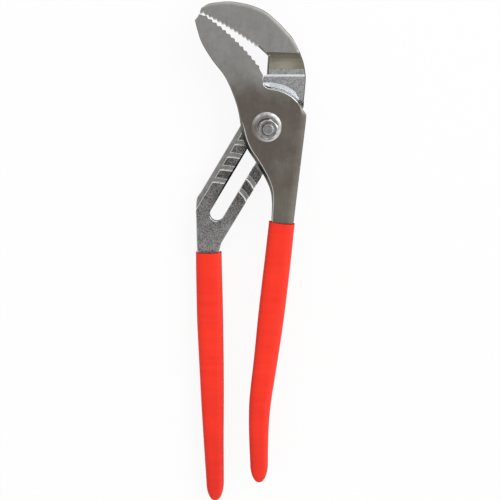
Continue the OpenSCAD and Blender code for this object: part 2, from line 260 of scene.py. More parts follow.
def forge_skin_oxide_and_shade(tree, place, colours):
    """Skin left on the flanks by the forge: dark olive oxide, dull and blotchy, made darker as a painted
    shade on walls that face away from the light, and black low down with oil and painted shade.
    """
    blotch = add(tree, "ShaderNodeTexNoise", {
        "Vector": place, "Scale": per_mm(6), "Detail": 4, "Roughness": 0.6})
    tone = add(tree, "ShaderNodeMix", {0: blotch, 6: colours.skin_dark,
                                       7: colours.skin_light}, data_type="RGBA")
    depth = add(tree, "ShaderNodeSeparateXYZ", {0: place}).outputs["Z"]
    # Near black low down: oil and painted shade.
    oil_and_painted_shade = add(tree, "ShaderNodeMapRange", {0: depth, 1: 14.4 * MM, 2: 16 * MM, 3: 0.25, 4: 1})
    tone = add(tree, "ShaderNodeVectorMath", {0: tone, 3: oil_and_painted_shade}, operation="SCALE")
    # Scale is near 0.3 mm across, drawn at 0.9 mm so that it shows.
    flakes = add(tree, "ShaderNodeTexNoise", {"Vector": place, "Scale": per_mm(0.9), "Detail": 3})
    rough = add(tree, "ShaderNodeMapRange", {0: flakes, 1: 0.3, 2: 0.7, 3: 0.42, 4: 0.58})
    bumps = add(tree, "ShaderNodeBump", {"Height": flakes, "Strength": 0.5, "Distance": 0.08 * MM})
    return add(tree, "ShaderNodeBsdfPrincipled", {
        "Base Color": tone, "Metallic": 1, "Roughness": rough, "Normal": bumps})


def worn_bright_steel(tree, place, colours):
    """Steel rubbed bright along its edges: clean and light, with a fine satin from small scratches."""
    # Scratches are near 0.1 mm apart, drawn at 0.7 mm so that they show.
    scratches = add(tree, "ShaderNodeTexNoise", {"Vector": place, "Scale": per_mm(0.7), "Detail": 3})
    ramp = add(tree, "ShaderNodeMapRange", {0: scratches, 1: 0.35, 2: 0.7, 3: 0, 4: 0.16})
    tone = add(tree, "ShaderNodeMix", {0: ramp, 6: colours.worn, 7: colours.forged_dark}, data_type="RGBA")
    rough = add(tree, "ShaderNodeMapRange", {0: scratches, 1: 0.3, 2: 0.7, 3: 0.3, 4: 0.42})
    bumps = add(tree, "ShaderNodeBump", {"Height": scratches, "Strength": 0.3, "Distance": 0.03 * MM})
    return add(tree, "ShaderNodeBsdfPrincipled", {
        "Base Color": tone, "Metallic": 1, "Roughness": rough, "Normal": bumps})


def bright_zinc_plate(tree, place, colours):
    """Bright zinc plate: a slightly blue mirror, a little cloudy, with an oil film on the washer's rim that
    also paints shade on its sides and bottom.
    """
    cloud = add(tree, "ShaderNodeTexNoise", {"Vector": place, "Scale": per_mm(3.4), "Detail": 4})
    rough = add(tree, "ShaderNodeMapRange", {0: cloud, 1: 0.3, 2: 0.7, 3: 0.12, 4: 0.22})
    dull = add(tree, "ShaderNodeMapRange", {0: cloud, 1: 0.35, 2: 0.7, 3: 0, 4: 0.8})
    # The nut and bolt stay bright; the washer's rim is darkened by the arm's oil and, on its sides and
    # bottom, by painted shade, while its top is left clean as a painted highlight for the bright fan that
    # its circular scratches reflect.
    level = add(tree, "ShaderNodeVectorMath", {0: place, 1: (1, 1, 0)}, operation="MULTIPLY")
    reach = add(tree, "ShaderNodeVectorMath", {0: level}, operation="LENGTH")
    oil_and_painted_shade = add(tree, "ShaderNodeMapRange", {0: reach, 1: 8.2 * MM, 2: 10.4 * MM})
    around = add(tree, "ShaderNodeVectorMath", {0: level}, operation="NORMALIZE")
    painted_highlight_mask = add(tree, "ShaderNodeSeparateXYZ", {0: around}).outputs["Y"]
    painted_highlight_mask = add(tree, "ShaderNodeMapRange", {0: painted_highlight_mask, 1: 0.2, 2: 0.9, 3: 1, 4: 0.1})
    oil_and_painted_shade = add(tree, "ShaderNodeMath", {0: oil_and_painted_shade, 1: painted_highlight_mask}, operation="MULTIPLY")
    film_and_painted_light = add(tree, "ShaderNodeMath", {0: dull, 1: oil_and_painted_shade}, operation="MAXIMUM")
    tone = add(tree, "ShaderNodeMix", {0: film_and_painted_light, 6: colours.zinc, 7: colours.ground_oil_and_reflection}, data_type="RGBA")
    waves = add(tree, "ShaderNodeBump", {"Height": cloud, "Strength": 0.4, "Distance": 0.1 * MM})
    return add(tree, "ShaderNodeBsdfPrincipled", {
        "Base Color": tone, "Metallic": 1, "Roughness": rough, "Normal": waves})


def dipped_soft_pvc(tree, place, colours):
    """Soft PVC from a dip tank: satin orange red, smooth, with slow runs round the handle."""
    runs_place = add(tree, "ShaderNodeMapping", {
        "Vector": place, "Scale": (per_mm(90), per_mm(5), per_mm(90))})
    runs = add(tree, "ShaderNodeTexNoise", {"Vector": runs_place, "Scale": 1, "Detail": 2})
    cloud = add(tree, "ShaderNodeTexNoise", {"Vector": place, "Scale": per_mm(22), "Detail": 3})
    height = add(tree, "ShaderNodeSeparateXYZ", {0: place}).outputs["Y"]
    # Darker towards the handle's end.
    toward_end = add(tree, "ShaderNodeMapRange", {0: height, 1: -215 * MM, 2: -290 * MM, 3: 0, 4: 0.55})
    blend = add(tree, "ShaderNodeMath", {0: runs, 1: 0.5}, operation="MULTIPLY")
    blend = add(tree, "ShaderNodeMath", {0: cloud, 1: 0.5, 2: blend}, operation="MULTIPLY_ADD")
    ramp = add(tree, "ShaderNodeMapRange", {0: blend, 1: 0.35, 2: 0.65, 3: 0, 4: 0.45})
    ramp = add(tree, "ShaderNodeMath", {0: ramp, 1: toward_end}, operation="ADD")
    tone = add(tree, "ShaderNodeMix", {0: ramp, 6: colours.grip, 7: colours.grip_deep}, data_type="RGBA")
    # The sides of a handle are painted darker, a painted shade where they turn away from the light.
    upright = add(tree, "ShaderNodeSeparateXYZ", {0: add(tree, "ShaderNodeTexCoord").outputs["Normal"]})
    level = add(tree, "ShaderNodeMath", {0: upright.outputs["Z"]}, operation="ABSOLUTE")
    painted_side_shade = add(tree, "ShaderNodeMapRange", {0: level, 1: 0.6, 2: 0.15, 3: 0, 4: 0.8})
    tone = add(tree, "ShaderNodeMix", {0: painted_side_shade, 6: tone, 7: colours.grip_side_shade}, data_type="RGBA")
    # The skin is nearly smooth: its grain is near 0.2 mm, drawn at 0.8 mm so that it shows.
    skin = add(tree, "ShaderNodeTexNoise", {"Vector": place, "Scale": per_mm(0.8), "Detail": 2})
    rough = add(tree, "ShaderNodeMapRange", {0: skin, 1: 0.3, 2: 0.7, 3: 0.44, 4: 0.54})
    slow = add(tree, "ShaderNodeBump", {"Height": runs, "Strength": 0.5, "Distance": 0.2 * MM})
    fine = add(tree, "ShaderNodeBump", {"Height": skin, "Strength": 0.25, "Distance": 0.03 * MM,
                                        "Normal": slow})
    return add(tree, "ShaderNodeBsdfPrincipled", {
        "Base Color": tone, "Roughness": rough, "Normal": fine, "IOR": 1.4})


def studio_paper(tree, place, colours):
    """Matt seamless paper, lit from below as well so that it stays white under the tool."""
    tooth = add(tree, "ShaderNodeTexNoise", {"Vector": place, "Scale": per_mm(1.5), "Detail": 2})
    bumps = add(tree, "ShaderNodeBump", {"Height": tooth, "Strength": 0.1, "Distance": 0.05 * MM})
    paper = add(tree, "ShaderNodeBsdfPrincipled", {
        "Base Color": colours.floor, "Roughness": 0.9, "Normal": bumps})
    glow = add(tree, "ShaderNodeEmission", {"Color": (1, 1, 1, 1), "Strength": 1})
    rays = add(tree, "ShaderNodeLightPath")
    seen = add(tree, "ShaderNodeMath", {0: rays.outputs["Is Camera Ray"], 1: rays.outputs["Is Glossy Ray"]},
               operation="ADD")
    seen = add(tree, "ShaderNodeMath", {0: seen, 1: rays.outputs["Is Transmission Ray"]}, operation="ADD")
    share = add(tree, "ShaderNodeMath", {0: seen, 1: 0.9}, operation="MULTIPLY")
    return add(tree, "ShaderNodeMixShader", {0: share, 1: paper, 2: glow})


FINISHES = {
    "ground": ground_steel,
    "forged": blasted_forged_steel,
    "machined": machined_steel,
    "worn": worn_bright_steel,
    "skin": forge_skin_oxide_and_shade,
    "scale": heat_scaled_steel,
    "zinc": bright_zinc_plate,
    "grip": dipped_soft_pvc,
    "floor": studio_paper,
}
made_finishes = {}


def finish(name):
    """Material of a finish, made the first time that it is asked for."""
    if name not in made_finishes:
        make = FINISHES[name]
        material = bpy.data.materials.new(make.__name__)
        material.use_nodes = True
        tree = material.node_tree
        tree.nodes.clear()
        place = add(tree, "ShaderNodeTexCoord").outputs["Object"]
        shader = make(tree, place, bpy.context.scene.pliers_colours)
        add(tree, "ShaderNodeOutputMaterial", {"Surface": shader})
        made_finishes[name] = material
    return made_finishes[name]


def merged_copy(node):
    """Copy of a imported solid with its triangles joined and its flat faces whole."""
    work = bmesh.new()
    work.from_mesh(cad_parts[node].data)
    bmesh.ops.remove_doubles(work, verts=work.verts, dist=MERGE_GAP)
    bmesh.ops.dissolve_limit(work, angle_limit=FLAT_ANGLE, verts=work.verts, edges=work.edges)
    return work


def place_object(name, mesh):
    """Object at the origin that shows a mesh."""
    obj = bpy.data.objects.new(name, mesh)
    bpy.context.scene.collection.objects.link(obj)
    return obj


def settle(obj):
    """Turns an object's modifiers into plain mesh."""
    graph = bpy.context.evaluated_depsgraph_get()
    mesh = bpy.data.meshes.new_from_object(obj.evaluated_get(graph), depsgraph=graph)
    old = obj.data
    obj.modifiers.clear()
    obj.data = mesh
    mesh.name = obj.name
    bpy.data.meshes.remove(old)
    return obj


def smooth_out(obj):
    """Shades rounded edges smooth and keeps level faces flat."""
    obj.data.shade_smooth()
    obj.data.set_sharp_from_angle(angle=SMOOTH_ANGLE)
    for face in obj.data.polygons:
        face.use_smooth = abs(face.normal.z) < LEVEL
    return obj


def declare(piece, body, node=None):
    """Says which body a piece rides on, and hides the node that it stands for."""
    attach(piece, body)
    if node:
        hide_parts(node)


def room(edge):
    """Widest rounding that the edges beside an edge leave space for."""
    along = (edge.verts[1].co - edge.verts[0].co).normalized()
    lengths = []
    for vert in edge.verts:
        for beside in vert.link_edges:
            way = beside.other_vert(vert).co - vert.co
            if beside != edge and abs(way.normalized().dot(along)) < ASIDE:
                lengths.append(way.length)
    return ROOM_SHARE * min(lengths, default=math.inf)


def rounded_piece(name, work, width_of, finishes, edge_finish=OWN_FINISH):
    """Object from a merged copy, with its hard edges rounded by the width that each one asks for."""
    weights = work.edges.layers.float.new("bevel_weight_edge")
    for edge in work.edges:
        if len(edge.link_faces) == 2 and edge.calc_face_angle(0) > HARD_ANGLE:
            edge[weights] = min(WIDEST_ROUND, width_of(edge), room(edge)) / WIDEST_ROUND
    mesh = bpy.data.meshes.new(name)
    work.to_mesh(mesh)
    work.free()
    for key in finishes:
        mesh.materials.append(finish(key))
    obj = place_object(name, mesh)
    bevel = obj.modifiers.new("rounded edges", "BEVEL")
    bevel.limit_method = "WEIGHT"
    bevel.width = WIDEST_ROUND
    bevel.segments = 2
    bevel.use_clamp_overlap = False
    bevel.material = edge_finish
    settle(obj)
    return smooth_out(obj)


def middle(edge):
    """Middle of an edge."""
    return (edge.verts[0].co + edge.verts[1].co) / 2


def steep(face):
    """Whether a face is more of a wall than a floor."""
    return abs(face.normal.z) < STEEP


def face_outline(work, level):
    """Outer loop of the flat faces at one height, as points in order."""
    flat = {f for f in work.faces if f.normal.z > LEVEL and abs(f.calc_center_median().z - level) < TOUCH}
    beside = {}
    for edge in work.edges:
        if sum(face in flat for face in edge.link_faces) == 1:
            first, second = edge.verts
            beside.setdefault(first, []).append(second)
            beside.setdefault(second, []).append(first)
    loops = []
    seen = set()
    for start in beside:
        if start in seen:
            continue
        loop = [start]
        seen.add(start)
        while True:
            onward = [vert for vert in beside[loop[-1]] if vert not in seen]
            if not onward:
                break
            loop.append(onward[0])
            seen.add(onward[0])
        loops.append([vert.co.copy() for vert in loop])
    return max(loops, key=lambda loop: sum((a - b).length for a, b in zip(loop, loop[1:])))


SPOT = 4 * MERGE_GAP
RIM_EASE = 5 * MM
RIM_FALL = 0.6
LEAST_SPREAD = 0.5
SLICE = 3 * MM
# Depths of the cuts below a rim, in millimetres
ROLL_DROPS = (0.03, 0.08, 0.16, 0.28, 0.45, 0.7, 1.0, 1.4, 9.0)
ROLL_POWER = 1.3
ROLL_REACH = 10 * MM


def spot(point):
    """Key of a point's place on the plan."""
    return (round(point.x / SPOT), round(point.y / SPOT))


def inward_shifts(loop, width_at, slide_at):
    """How far each point of a rim moves inwards or slides, with its width eased along the rim."""
    count = len(loop)
    if sum(a.x * b.y - b.x * a.y for a, b in zip(loop, loop[1:] + loop[:1])) < 0:
        loop = loop[::-1]
    steps = [(loop[(i + 1) % count] - loop[i]).length for i in range(count)]
    total = sum(steps)
    along = [sum(steps[:i]) for i in range(count)]
    targets = [width_at(point) for point in loop]
    shifts = {}
    for i, point in enumerate(loop):
        weight = width = 0
        limit = math.inf
        for j in range(count):
            gap = abs(along[i] - along[j])
            gap = min(gap, total - gap)
            share = math.exp(-(gap / RIM_EASE) ** 2) * (min(steps[j - 1], SLICE) + min(steps[j], SLICE))
            weight += share
            width += share * targets[j]
            if targets[j] == 0:
                limit = min(limit, gap * RIM_FALL)
        before = (point - loop[i - 1]).normalized()
        after = (loop[(i + 1) % count] - point).normalized()
        inward = UP.cross(before) + UP.cross(after)
        spread = max(LEAST_SPREAD, 1 + before.dot(after))
        shifts[spot(point)] = (slide_at(point) or inward / spread) * min(width / weight, limit)
    return shifts


def plan(point):
    """Place of a point on the plan in millimetres."""
    return point.x / MM, point.y / MM


def cut_faces(work, faces, point, normal):
    """Cuts only the faces given with a plane."""
    parts = {}
    for face in faces:
        for part in (face, *face.edges, *face.verts):
            parts[part] = None
    bmesh.ops.bisect_plane(work, geom=list(parts), dist=MERGE_GAP, plane_co=point, plane_no=normal)


def slice_walls(work, loop):
    """Cuts the long walls below a rim across, so that the rim can change along its length."""
    for first, second in zip(loop, loop[1:] + loop[:1]):
        count = math.ceil((second - first).length / SLICE)
        along = (second - first).normalized()
        aside = UP.cross(along)
        for step in range(1, count):
            point = first.lerp(second, step / count)
            walls = []
            for face in work.faces:
                reach = [(vert.co - point).dot(along) for vert in face.verts]
                level = max(abs((vert.co - point).dot(aside)) for vert in face.verts)
                if level < TOUCH and min(reach) < -MERGE_GAP and max(reach) > MERGE_GAP:
                    walls.append(face)
            cut_faces(work, walls, point, along)


def roll_rim(work, level, depth_at, rim_at, slide_at=lambda point: None):
    """Rolls the rim of a flat face over as a grinding belt does, and slopes the wall below it."""
    slice_walls(work, face_outline(work, level))
    loop = face_outline(work, level)
    keys = {spot(point) for point in loop}
    for drop in ROLL_DROPS:
        walls = [f for f in work.faces if abs(f.normal.z) < UPRIGHT
                 and any(spot(v.co) in keys and v.co.z > level - drop * MM for v in f.verts)]
        cut_faces(work, walls, (0, 0, level - drop * MM), UP)
    rolls, depths, drafts = (
        inward_shifts(loop, lambda point: rim_at(point)[part], slide_at) for part in range(3))
    for vert in work.verts:
        key = spot(vert.co)
        drop = level - vert.co.z
        depth = depth_at(vert.co)
        if key in rolls and -TOUCH < drop < depth:
            lift = max(0, min(1, 1 - drop / max(TOUCH, depths[key].length)))
            curve = 1 - (1 - lift ** ROLL_POWER) ** (1 / ROLL_POWER)
            vert.co += rolls[key] * curve + drafts[key] * max(0, 1 - drop / depth)
    work.normal_update()
    unbent = [edge for edge in work.edges if abs(edge.verts[0].co.z - edge.verts[1].co.z) < TOUCH
              and all(steep(face) for face in edge.link_faces)
              and edge.calc_face_angle(1) < FLAT_ANGLE]
    bmesh.ops.dissolve_edges(work, edges=unbent, use_verts=True)


def fade(value, start, end):
    """Share from 0 at start to 1 at end."""
    return max(0, min(1, (value - start) / (end - start)))


FRONT_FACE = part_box("front_arm")[1].z
JAW_DEPTH = FRONT_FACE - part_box("front_arm")[0].z
REAR_LAND = 14.5 * MM
GROOVE_FLOOR = 11.5 * MM
ARM_FINISHES = ["ground", "forged", "machined", "worn", "skin", "scale"]
GROUND, FORGED, MACHINED, WORN, OXIDE_AND_SHADE, SCALED = range(len(ARM_FINISHES))

# Places on the front arm's plan, in millimetres from the bolt's axis
WAIST = (-66, -40)
WAIST_TOP = 5
OUTER_SIDE = 8
SHOULDER_LOW = 14
SHOULDER_RIGHT = 23
NOTCH_LEFT = -6
NOTCH_BEND = 36
NOTCH_TOP = 42.2
LOWER_TIP = (-55, 87)
LOWER_LEAN = 0.87


class PLIERS_OT_front_arm(bpy.types.Operator):
    """Front arm: ground face with rolled edges, forged sides"""

    bl_idname = "pliers.front_arm"
    bl_label = "Front Arm"

    def execute(self, context):
        sizes = context.scene.pliers_sizes
        work = merged_copy("front_arm")

        def toothed(x, y):
            return y > NOTCH_BEND and x > LOWER_TIP[0] + (LOWER_TIP[1] - y) * LOWER_LEAN

        def rim_at(point):
            x, y = plan(point)
            if toothed(x, y):
                return 0, 0, 0
            if y > SHOULDER_LOW and x > NOTCH_LEFT:
                return sizes.shoulder_roll, sizes.shoulder_roll, sizes.shoulder_draft
            if x > OUTER_SIDE:
                return sizes.side_roll, sizes.side_roll_depth, sizes.neck_draft
            if y > WAIST_TOP:
                return sizes.jaw_roll, sizes.jaw_roll_depth, sizes.jaw_draft
            return 0, 0, max(sizes.bar_draft, sizes.waist_draft * fade(y, *WAIST))

        def width_of(edge):
            place = middle(edge)
            x, y = plan(place)
            if toothed(x, y):
                return sizes.tooth_round if y > NOTCH_TOP else 0
            rolled = place.z > FRONT_FACE - ROLL_REACH and rim_at(place)[0] > sizes.shoulder_roll
            return 0 if rolled else sizes.edge_round

        roll_rim(work, FRONT_FACE, lambda point: sizes.draft_depth, rim_at)
        for face in work.faces:
            place = face.calc_center_median()
            x, y = plan(place)
            shoulder = y > SHOULDER_LOW and NOTCH_LEFT < x < SHOULDER_RIGHT and place.z < FRONT_FACE - TOUCH
            if toothed(x, y) and steep(face):
                face.material_index = MACHINED
            elif shoulder and face.normal.z > -STEEP:
                face.material_index = WORN
            else:
                face.material_index = OXIDE_AND_SHADE if steep(face) else GROUND
        arm = rounded_piece("front_arm_forging", work, width_of, ARM_FINISHES, WORN)
        declare(arm, "front_arm", "front_arm")
        return {"FINISHED"}


UP_SLOT = Vector((0.515, 0.857, 0))
LEFT_OF_SLOT = Vector((-0.857, 0.515, 0))
SLOT_HALF = 5.7 * MM
SLOT_BELOW = 79.5 * MM
SLOT_FADE = 8 * MM
TOOTH_RIM = 0.05 * MM

# Places on the rear arm's plan, in millimetres from the bolt's axis
SLOT_END = -74
NECK_FOOT = 14
NECK_RUN = (14, 22)
NECK_LOW = 20
NECK_LEFT = 3
NECK_RIGHT = 24
NECK_STEP = 42.3
STEP_HALF = 1
STEP_CLEAR = 4
SLOPE_RUN = (47, 56)
SLOPE_TOP = 60
JAW_RUN = (60, 72)
THROAT_EDGE = -1.3
THROAT_WALL = (33, 58)
THROAT_LOW = 44
THROAT_RUN = (-14, -6)
TEETH_LEFT = 2
TEETH_CLEAN = -9
UPPER_TIP = (-50.6, 93.5)
UPPER_LEAN = 0.61
BEVEL_RADII = (31.5, 35.4)
BEVEL_NEAR = 0.1
BEVEL_RUN = (27, 19)

# Upward share of the normals of the neck's slope and of its step, at most
SLOPE_TILT = 0.9
STEP_TILT = 0.97


class PLIERS_OT_rear_arm(bpy.types.Operator):
    """Rear arm: ground jaw face, forged lands, machined grooves and ledge"""

    bl_idname = "pliers.rear_arm"
    bl_label = "Rear Arm"

    def execute(self, context):
        sizes = context.scene.pliers_sizes
        work = merged_copy("rear_arm")

        def toothed(x, y):
            return THROAT_LOW < y < UPPER_TIP[1] - (x - UPPER_TIP[0]) * UPPER_LEAN and x < TEETH_LEFT

        def beside_slope(x, y):
            return y < SLOPE_TOP and x > NECK_LEFT

        def rim_at(point):
            x, y = plan(point)
            if beside_slope(x, y):
                return 0, 0, sizes.neck_draft + sizes.slope_draft
            if toothed(x, y):
                return TOOTH_RIM, TOOTH_RIM, sizes.throat_draft * fade(x, *THROAT_RUN)
            return sizes.jaw_roll, sizes.jaw_roll_depth, sizes.neck_draft

        def depth_at(point):
            return JAW_DEPTH + (sizes.draft_depth - JAW_DEPTH) * fade(plan(point)[1], *JAW_RUN)

        def slide_at(point):
            return Vector((-1, 0, 0)) if beside_slope(*plan(point)) else None

        def cut(place):
            within = SLOT_END < plan(place)[1] < NECK_STEP
            return within and GROOVE_FLOOR - TOUCH < place.z < REAR_LAND + TOUCH

        def width_of(edge):
            place = middle(edge)
            x, y = plan(place)
            if toothed(x, y):
                return sizes.tooth_round
            walls = [face.normal for face in edge.link_faces if steep(face)]
            if not walls or place.z > FRONT_FACE - ROLL_REACH and rim_at(place)[0] > sizes.shoulder_roll:
                return 0
            if NECK_LOW < y < SLOPE_TOP and place.z > REAR_LAND - TOUCH or x > NECK_RIGHT:
                return 0
            if not cut(place) or y > NECK_LOW:
                return sizes.edge_round
            if -TOUCH < place.dot(LEFT_OF_SLOT) - SLOT_HALF < sizes.wall_draft + TOUCH:
                return 0
            if place.z < REAR_LAND - TOUCH:
                return sizes.cut_round
            if max(wall.dot(UP_SLOT) for wall in walls) <= STEEP:
                return sizes.groove_round
            return sizes.groove_lip if place.dot(LEFT_OF_SLOT) > 0 else sizes.cut_round

        roll_rim(work, FRONT_FACE, depth_at, rim_at, slide_at)
        for vert in work.verts:
            x, y = plan(vert.co)
            aside = vert.co.dot(LEFT_OF_SLOT)
            below = -vert.co.dot(UP_SLOT)
            raised = vert.co.z > REAR_LAND - TOUCH
            if vert.co.z > GROOVE_FLOOR - TOUCH and abs(aside - SLOT_HALF) < TOUCH and below < SLOT_BELOW:
                vert.co += LEFT_OF_SLOT * sizes.wall_draft * fade(below, SLOT_BELOW, SLOT_BELOW - SLOT_FADE)
            elif raised and THROAT_WALL[0] < y < THROAT_WALL[1] and THROAT_EDGE < x < NECK_LEFT:
                vert.co.x += sizes.wall_draft * fade(x, NECK_LEFT, 0)
            elif raised and NECK_FOOT < y < SLOPE_TOP and x > NECK_RIGHT:
                vert.co.x -= sizes.neck_draft * fade(y, *NECK_RUN) + sizes.slope_draft * fade(y, *SLOPE_RUN)
            if y > NECK_FOOT and min(abs(math.hypot(x, y) - radius) for radius in BEVEL_RADII) < BEVEL_NEAR:
                vert.co += Vector((x, y, 0)).normalized() * sizes.bevel_wear * fade(x, *BEVEL_RUN)
            elif abs(vert.co.z - REAR_LAND) < TOUCH and 0 < NECK_STEP - y < STEP_HALF:
                vert.co.y -= sizes.step_wear
        for face in work.faces:
            place = face.calc_center_median()
            x, y = plan(place)
            if steep(face):
                face.material_index = MACHINED if toothed(x, y) and x < TEETH_CLEAN else OXIDE_AND_SHADE
            elif abs(y - NECK_STEP) < STEP_HALF and STEEP < face.normal.z < STEP_TILT:
                face.material_index = WORN
            elif y > NECK_STEP + STEP_CLEAR:
                face.material_index = SCALED if y < SLOPE_TOP and 0 < face.normal.z < SLOPE_TILT else GROUND
            elif cut(place) and place.z < REAR_LAND - TOUCH:
                face.material_index = WORN if y > NECK_LOW else MACHINED
            else:
                face.material_index = FORGED
        arm = rounded_piece("rear_arm_forging", work, width_of, ARM_FINISHES, WORN)
        declare(arm, "rear_arm", "rear_arm")
        return {"FINISHED"}


def circle(radius, height, sides, centre=(0, 0)):
    """Ring of points, whose radius and height may change with the angle."""
    points = []
    for index in range(sides):
        angle = index * math.tau / sides
        reach = radius(angle) if callable(radius) else radius
        level = height(angle) if callable(height) else height
        points.append((centre[0] + reach * math.cos(angle), centre[1] + reach * math.sin(angle), level))
    return points


def ring_piece(name, rings, width, key):
    """Closed piece skinned over rings that follow each other round its section."""
    sides = len(rings[0])
    points = [point for ring in rings for point in ring]
    faces = []
    for row in range(len(rings)):
        onward = (row + 1) % len(rings)
        for index in range(sides):
            beside = (index + 1) % sides
            faces.append((row * sides + index, row * sides + beside,
                          onward * sides + beside, onward * sides + index))
    mesh = bpy.data.meshes.new(name)
    mesh.from_pydata(points, [], faces)
    work = bmesh.new()
    work.from_mesh(mesh)
    bpy.data.meshes.remove(mesh)
    bmesh.ops.recalc_face_normals(work, faces=work.faces)
    return rounded_piece(name, work, lambda edge: width, [key])


def box_middle(node):
    """Middle of a node's box on the plan."""
    low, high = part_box(node)
    return ((low.x + high.x) / 2, (low.y + high.y) / 2)


def open_tree(name, kinds):
    """Empty tree of geometry nodes with its named inputs, and the sockets that give them."""
    tree = bpy.data.node_groups.new(name, "GeometryNodeTree")
    for label, kind in kinds.items():
        tree.interface.new_socket(label, in_out="INPUT", socket_type="NodeSocket" + kind)
    tree.interface.new_socket("Geometry", in_out="OUTPUT", socket_type="NodeSocketGeometry")
    return tree, add(tree, "NodeGroupInput").outputs


def close_tree(tree, shape, given):
    """Ends a tree with its shape made real, in the finish that it is given."""
    real = add(tree, "GeometryNodeRealizeInstances", {0: shape})
    finished = add(tree, "GeometryNodeSetMaterial", {"Geometry": real, "Material": given["Finish"]})
    add(tree, "NodeGroupOutput", {0: finished})
    return tree


def thread_tree():
    """Geometry nodes that wind a thread's ridge round a bolt."""
    tree, given = open_tree("bolt thread", {
        "Turns": "Float", "Radius": "Float", "Rise": "Float", "Start": "Float", "Ridge": "Float",
        "Finish": "Material"})
    winding = add(tree, "GeometryNodeCurveSpiral", {
        "Resolution": 48, "Rotations": given["Turns"], "Start Radius": given["Radius"],
        "End Radius": given["Radius"], "Height": given["Rise"]})
    section = add(tree, "GeometryNodeCurvePrimitiveCircle", {"Resolution": 6, "Radius": given["Ridge"]})
    ridge = add(tree, "GeometryNodeCurveToMesh", {
        "Curve": winding, "Profile Curve": section, "Fill Caps": True})
    lift = add(tree, "ShaderNodeCombineXYZ", {"Z": given["Start"]})
    raised = add(tree, "GeometryNodeTransform", {"Geometry": ridge, "Translation": lift})
    return close_tree(tree, raised, given)


def grown(name, mesh, tree, values):
    """Object whose mesh is what a tree makes of the mesh given, with the tree's named inputs set."""
    obj = place_object(name, mesh)
    modifier = obj.modifiers.new(tree.name, "NODES")
    modifier.node_group = tree
    for item in tree.interface.items_tree:
        if item.in_out == "INPUT" and item.name in values:
            modifier[item.identifier] = values[item.name]
    return settle(obj)


SHANK = 4.75 * MM
THREAD_RUNOUT = 0.6 * MM
THREAD_TAIL = 0.9 * MM
RIDGE_SHARE = 0.55
WASHER_BORE = 6.8 * MM
WASHER_SIDES = 128
NUT_HALF = 7.15 * MM
NUT_FACE = 0.94 * NUT_HALF
NUT_BORE = SHANK + 0.05 * MM
NUT_SINK = 0.7 * MM
NUT_TURN = math.radians(17)
NUT_CHAMFER = math.tan(math.radians(30))
NUT_SIDES = 360


class PLIERS_OT_pivot(bpy.types.Operator):
    """Pivot: bolt, flat washer, split lock washer and nut, in bright zinc plate"""

    bl_idname = "pliers.pivot"
    bl_label = "Pivot"

    def execute(self, context):
        sizes = context.scene.pliers_sizes
        nut_low, nut_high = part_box("hex_nut")
        start = nut_low.z - THREAD_RUNOUT
        root = SHANK - sizes.thread_depth

        def plated(piece, node=None):
            declare(piece, "pivot", node)

        work = merged_copy("pivot_bolt")
        cut_faces(work, work.faces, (0, 0, start), UP)
        for vert in work.verts:
            if vert.co.z > start + TOUCH:
                vert.co.x *= root / SHANK
                vert.co.y *= root / SHANK
        bolt = rounded_piece("pivot_bolt_plated", work, lambda edge: sizes.bolt_round, ["zinc"])
        plated(bolt, "pivot_bolt")

        ridge = sizes.thread_depth * RIDGE_SHARE
        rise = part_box("pivot_bolt")[1].z - THREAD_TAIL - start
        plated(grown("bolt_thread", bpy.data.meshes.new("bolt_thread"), thread_tree(), {
            "Turns": rise / sizes.thread_pitch, "Radius": SHANK - ridge, "Rise": rise, "Start": start,
            "Ridge": ridge, "Finish": finish("zinc")}))

        low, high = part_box("flat_washer")
        inner = WASHER_BORE / MM
        outer = (high.x - low.x) / 2 / MM
        # Radius and height of the corners of the washer's domed section, in millimetres
        section = ((inner, 0.3), (inner + 0.3, 0), (outer - 0.2, 0), (outer, 0.2), (outer, 0.55),
                   (outer - 0.1, 0.8), (outer - 0.3, 1.02), (outer - 0.8, 1.28), (outer - 1.6, 1.6),
                   (outer - 2.4, 1.86), (outer - 3, 2.0), (inner + 0.4, 2.0), (inner, 1.7))
        centre = box_middle("flat_washer")
        rings = [circle(radius * MM, low.z + height * MM, WASHER_SIDES, centre)
                 for radius, height in section]
        plated(ring_piece("flat_washer_plated", rings, 0, "zinc"), "flat_washer")

        work = merged_copy("lock_washer")
        lock = rounded_piece("lock_washer_plated", work, lambda edge: sizes.lock_round, ["zinc"])
        plated(lock, "lock_washer")

        def hexagon(angle):
            return NUT_HALF / math.cos((angle - NUT_TURN) % (math.tau / 6) - math.pi / 6)

        def crown(angle):
            return nut_high.z - (hexagon(angle) - NUT_FACE) * NUT_CHAMFER

        def foot(angle):
            return nut_low.z + (hexagon(angle) - NUT_FACE) * NUT_CHAMFER

        section = ((NUT_BORE + NUT_SINK, nut_high.z), (NUT_FACE, nut_high.z), (hexagon, crown),
                   (hexagon, foot), (NUT_FACE, nut_low.z), (NUT_BORE + NUT_SINK, nut_low.z),
                   (NUT_BORE, nut_low.z + NUT_SINK), (NUT_BORE, nut_high.z - NUT_SINK))
        rings = [circle(radius, height, NUT_SIDES) for radius, height in section]
        plated(ring_piece("hex_nut_plated", rings, sizes.nut_round, "zinc"), "hex_nut")
        return {"FINISHED"}


def section_box(obj, level):
    """Box round an object's section at one place along the tool, as low x, high x, low z and high z."""
    across = []
    up = []
    verts = obj.data.vertices
    for edge in obj.data.edges:
        first, second = (verts[index].co for index in edge.vertices)
        if (first.y - level) * (second.y - level) <= 0 and first.y != second.y:
            point = first.lerp(second, (level - first.y) / (second.y - first.y))
            across.append(point.x)
            up.append(point.z)
    return min(across), max(across), min(up), max(up)


def eased(values, passes=8):
    """Row of values with its small kinks taken out."""
    for _ in range(passes):
        values = [values[0]] + [(values[i - 1] + 2 * values[i] + values[i + 1]) / 4
                                for i in range(1, len(values) - 1)] + [values[-1]]
    return values


